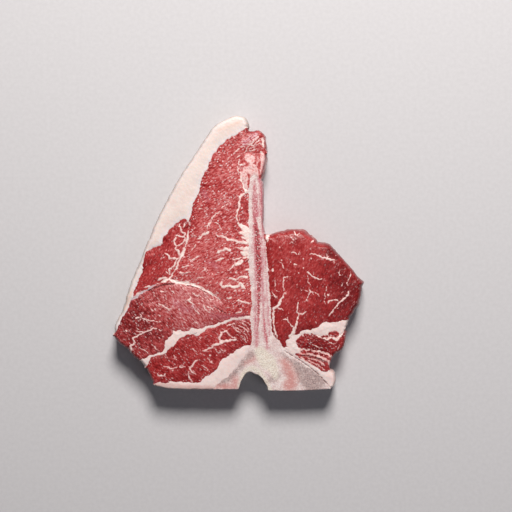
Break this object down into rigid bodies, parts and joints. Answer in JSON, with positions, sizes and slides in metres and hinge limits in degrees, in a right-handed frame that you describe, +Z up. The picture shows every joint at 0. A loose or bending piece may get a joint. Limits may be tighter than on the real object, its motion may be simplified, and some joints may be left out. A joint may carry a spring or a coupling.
{
  "type": "raw t-bone steak",
  "caption": "Thick raw beef T-bone steak lying flat: marbled lean muscles, an outer fat cap, seam fat and a T-shaped bone sawn through.",
  "frame": {"origin": "on the ground under the centre of the steak's bounding box", "axes": "+Z up through the thickness, +Y along the rib towards the fat tip, -Y is the sawn chine edge, +X towards the tenderloin"},
  "size_m": [0.2, 0.2212, 0.0294],
  "materials": {
    "lean": "moist raw beef, satin, finely marbled",
    "dark_lean": "moist darker raw beef, satin",
    "fat": "soft seam fat, satin",
    "cap_fat": "firm white back fat, waxy satin",
    "bone": "sawn wet bone with pink marrow, satin"
  },
  "bodies": {
    "root": {"fat_cap": "cap_fat", "cap_muscle": "lean", "strip_loin": "lean", "lower_loin": "lean", "seam_fat": "fat", "back_muscle": "dark_lean", "chine_fat": "fat", "rib_fat": "fat", "t_bone": "bone", "tenderloin": "dark_lean", "tenderloin_fat": "fat", "side_strap": "dark_lean", "chine_strip": "dark_lean"}
  },
  "joints": []
}
